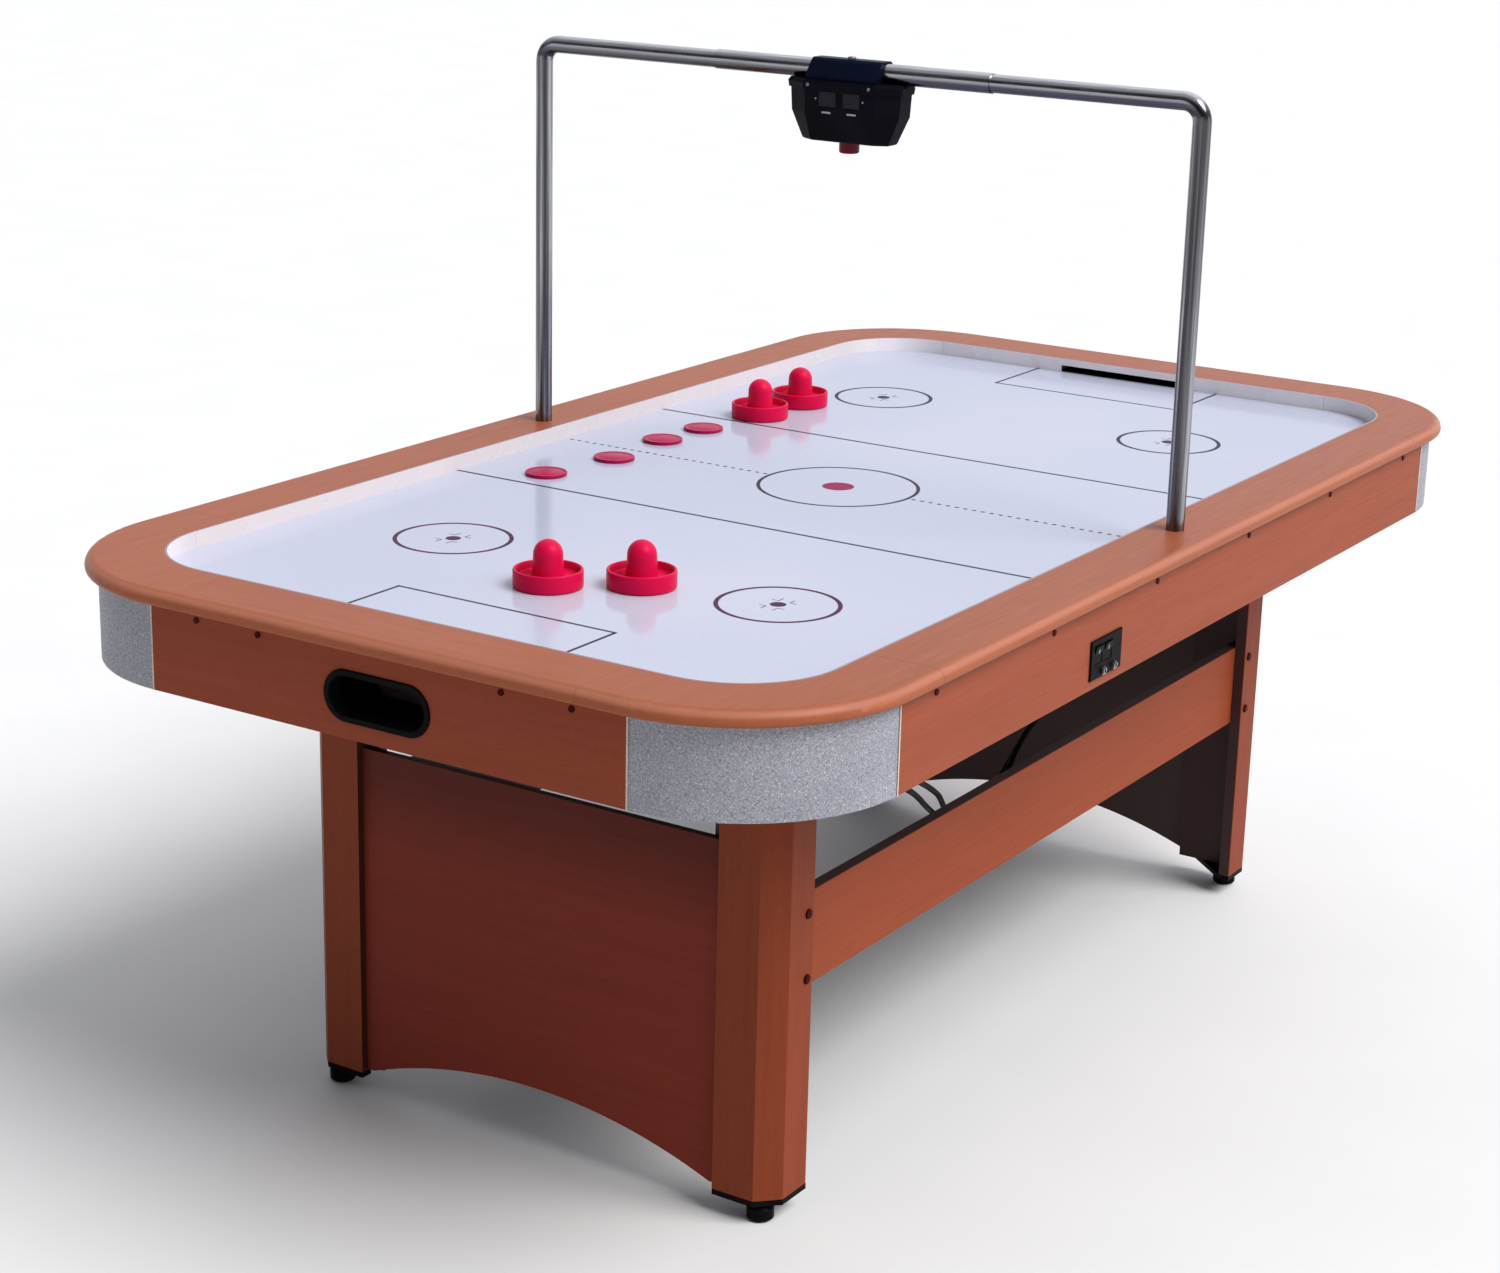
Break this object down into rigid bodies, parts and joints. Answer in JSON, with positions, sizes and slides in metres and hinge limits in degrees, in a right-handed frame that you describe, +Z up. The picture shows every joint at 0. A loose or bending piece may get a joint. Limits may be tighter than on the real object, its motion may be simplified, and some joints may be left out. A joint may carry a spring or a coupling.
{
  "type": "air hockey table",
  "caption": "Air hockey table with rounded rail, grey corner covers, panelled legs and an overhead scoring gantry.",
  "frame": {"origin": "on the floor, under the centre of the playing surface", "axes": "+X along the table's long side, +Y across it away from the switch plate, +Z up"},
  "size_m": [2.118, 1.196, 1.386],
  "materials": {
    "cherry_laminate": "satin printed wood-grain laminate",
    "dark_laminate": "satin laminate in the shade of the end panels",
    "bare_board": "raw board",
    "field_white": "high-gloss white laminate with air holes",
    "wall_white": "glossy white extrusion",
    "speckled_silver": "fine grey speckled texture",
    "black_plastic": "moulded, fine grain",
    "black_gloss": "smoked window",
    "red_plastic": "moulded, semi-gloss",
    "steel_tube": "polished steel tube",
    "black_steel": "black screw heads",
    "bright_metal": "plated",
    "circuit_board": "solder mask",
    "motor_metal": "zinc plated",
    "lead_pvc": "soft PVC sheath"
  },
  "bodies": {
    "table": {"apron_back": "cherry_laminate", "apron_front": "cherry_laminate", "apron_left": "cherry_laminate", "apron_right": "cherry_laminate", "apron_screws": "black_steel", "blower_housing": "black_plastic", "blower_motor": "motor_metal", "corner_covers": "speckled_silver", "gantry_sleeve": "steel_tube", "gantry_sockets": "steel_tube", "gantry_tube_back": "steel_tube", "gantry_tube_front": "steel_tube", "goal_boxes": "black_plastic", "goal_pockets": "black_plastic", "goal_sensors": "black_plastic", "leg_bearers": "bare_board", "leg_bolts": "black_steel", "leg_caps": "black_plastic", "leg_panel_left": "dark_laminate", "leg_panel_right": "dark_laminate", "leg_posts": "cherry_laminate", "playfield": "field_white", "plenum_floor": "bare_board", "plenum_frame": "bare_board", "power_jacks": "bright_metal", "power_plate": "black_plastic", "rail_back": "cherry_laminate", "rail_corners": "cherry_laminate", "rail_front": "cherry_laminate", "rail_left": "cherry_laminate", "rail_right": "cherry_laminate", "rink_corner_walls": "wall_white", "rink_end_walls": "wall_white", "rink_side_walls": "wall_white", "scorer_back_shell": "black_plastic", "scorer_board": "circuit_board", "scorer_clamp": "black_plastic", "scorer_front_shell": "black_plastic", "scorer_screws": "bright_metal", "scorer_windows": "black_gloss", "sensor_lead_1": "lead_pvc", "sensor_lead_2": "lead_pvc", "stretcher_back": "cherry_laminate", "stretcher_front": "cherry_laminate"},
    "impeller": {"blower_impeller": "black_plastic"},
    "leveller_back_left": {"leveller_back_left": "black_plastic"},
    "leveller_back_right": {"leveller_back_right": "black_plastic"},
    "leveller_front_left": {"leveller_front_left": "black_plastic"},
    "leveller_front_right": {"leveller_front_right": "black_plastic"},
    "puck_1": {"puck_1": "red_plastic"},
    "puck_2": {"puck_2": "red_plastic"},
    "puck_3": {"puck_3": "red_plastic"},
    "puck_4": {"puck_4": "red_plastic"},
    "pusher_1": {"pusher_1": "red_plastic"},
    "pusher_2": {"pusher_2": "red_plastic"},
    "pusher_3": {"pusher_3": "red_plastic"},
    "pusher_4": {"pusher_4": "red_plastic"},
    "rocker_left": {"rocker_left": "black_plastic"},
    "rocker_right": {"rocker_right": "black_plastic"},
    "button": {"scorer_button": "red_plastic"}
  },
  "joints": [
    {"name": "leveller_back_left_screw", "type": "slide", "parent": "table", "child": "leveller_back_left", "axis": [0, 0, -1], "range_m": [0, 0.02]},
    {"name": "leveller_back_right_screw", "type": "slide", "parent": "table", "child": "leveller_back_right", "axis": [0, 0, -1], "range_m": [0, 0.02]},
    {"name": "leveller_front_left_screw", "type": "slide", "parent": "table", "child": "leveller_front_left", "axis": [0, 0, -1], "range_m": [0, 0.02]},
    {"name": "leveller_front_right_screw", "type": "slide", "parent": "table", "child": "leveller_front_right", "axis": [0, 0, -1], "range_m": [0, 0.02]},
    {"name": "pusher_1_glide", "type": "slide", "parent": "table", "child": "pusher_1", "axis": [1, 0, 0], "range_m": [-0.223, 0.393]},
    {"name": "pusher_2_glide", "type": "slide", "parent": "table", "child": "pusher_2", "axis": [1, 0, 0], "range_m": [-0.294, 0.322]},
    {"name": "pusher_3_glide", "type": "slide", "parent": "table", "child": "pusher_3", "axis": [0, 1, 0], "range_m": [-0.786, 0.106]},
    {"name": "pusher_4_glide", "type": "slide", "parent": "table", "child": "pusher_4", "axis": [0, 1, 0], "range_m": [-0.785, 0.107]},
    {"name": "puck_1_glide", "type": "slide", "parent": "table", "child": "puck_1", "axis": [0, 1, 0], "range_m": [-0.839, 0.085]},
    {"name": "puck_2_glide", "type": "slide", "parent": "table", "child": "puck_2", "axis": [0, 1, 0], "range_m": [-0.817, 0.107]},
    {"name": "puck_3_glide", "type": "slide", "parent": "table", "child": "puck_3", "axis": [0, 1, 0], "range_m": [-0.828, 0.096]},
    {"name": "puck_4_glide", "type": "slide", "parent": "table", "child": "puck_4", "axis": [0, 1, 0], "range_m": [-0.822, 0.102]},
    {"name": "rocker_left_tilt", "type": "hinge", "parent": "table", "child": "rocker_left", "pos_m": [-0.318, -0.5835, 0.7], "axis": [1, 0, 0], "range_deg": [-16, 0]},
    {"name": "rocker_right_tilt", "type": "hinge", "parent": "table", "child": "rocker_right", "pos_m": [-0.291, -0.5835, 0.7], "axis": [1, 0, 0], "range_deg": [-16, 0]},
    {"name": "button_press", "type": "slide", "parent": "table", "child": "button", "axis": [0, 0, 1], "range_m": [0, 0.003], "stiffness_N_per_m": 300, "springref_m": -0.002},
    {"name": "impeller_spin", "type": "hinge", "parent": "table", "child": "impeller", "pos_m": [0, 0, 0.648], "axis": [0, 0, 1], "continuous": true}
  ]
}
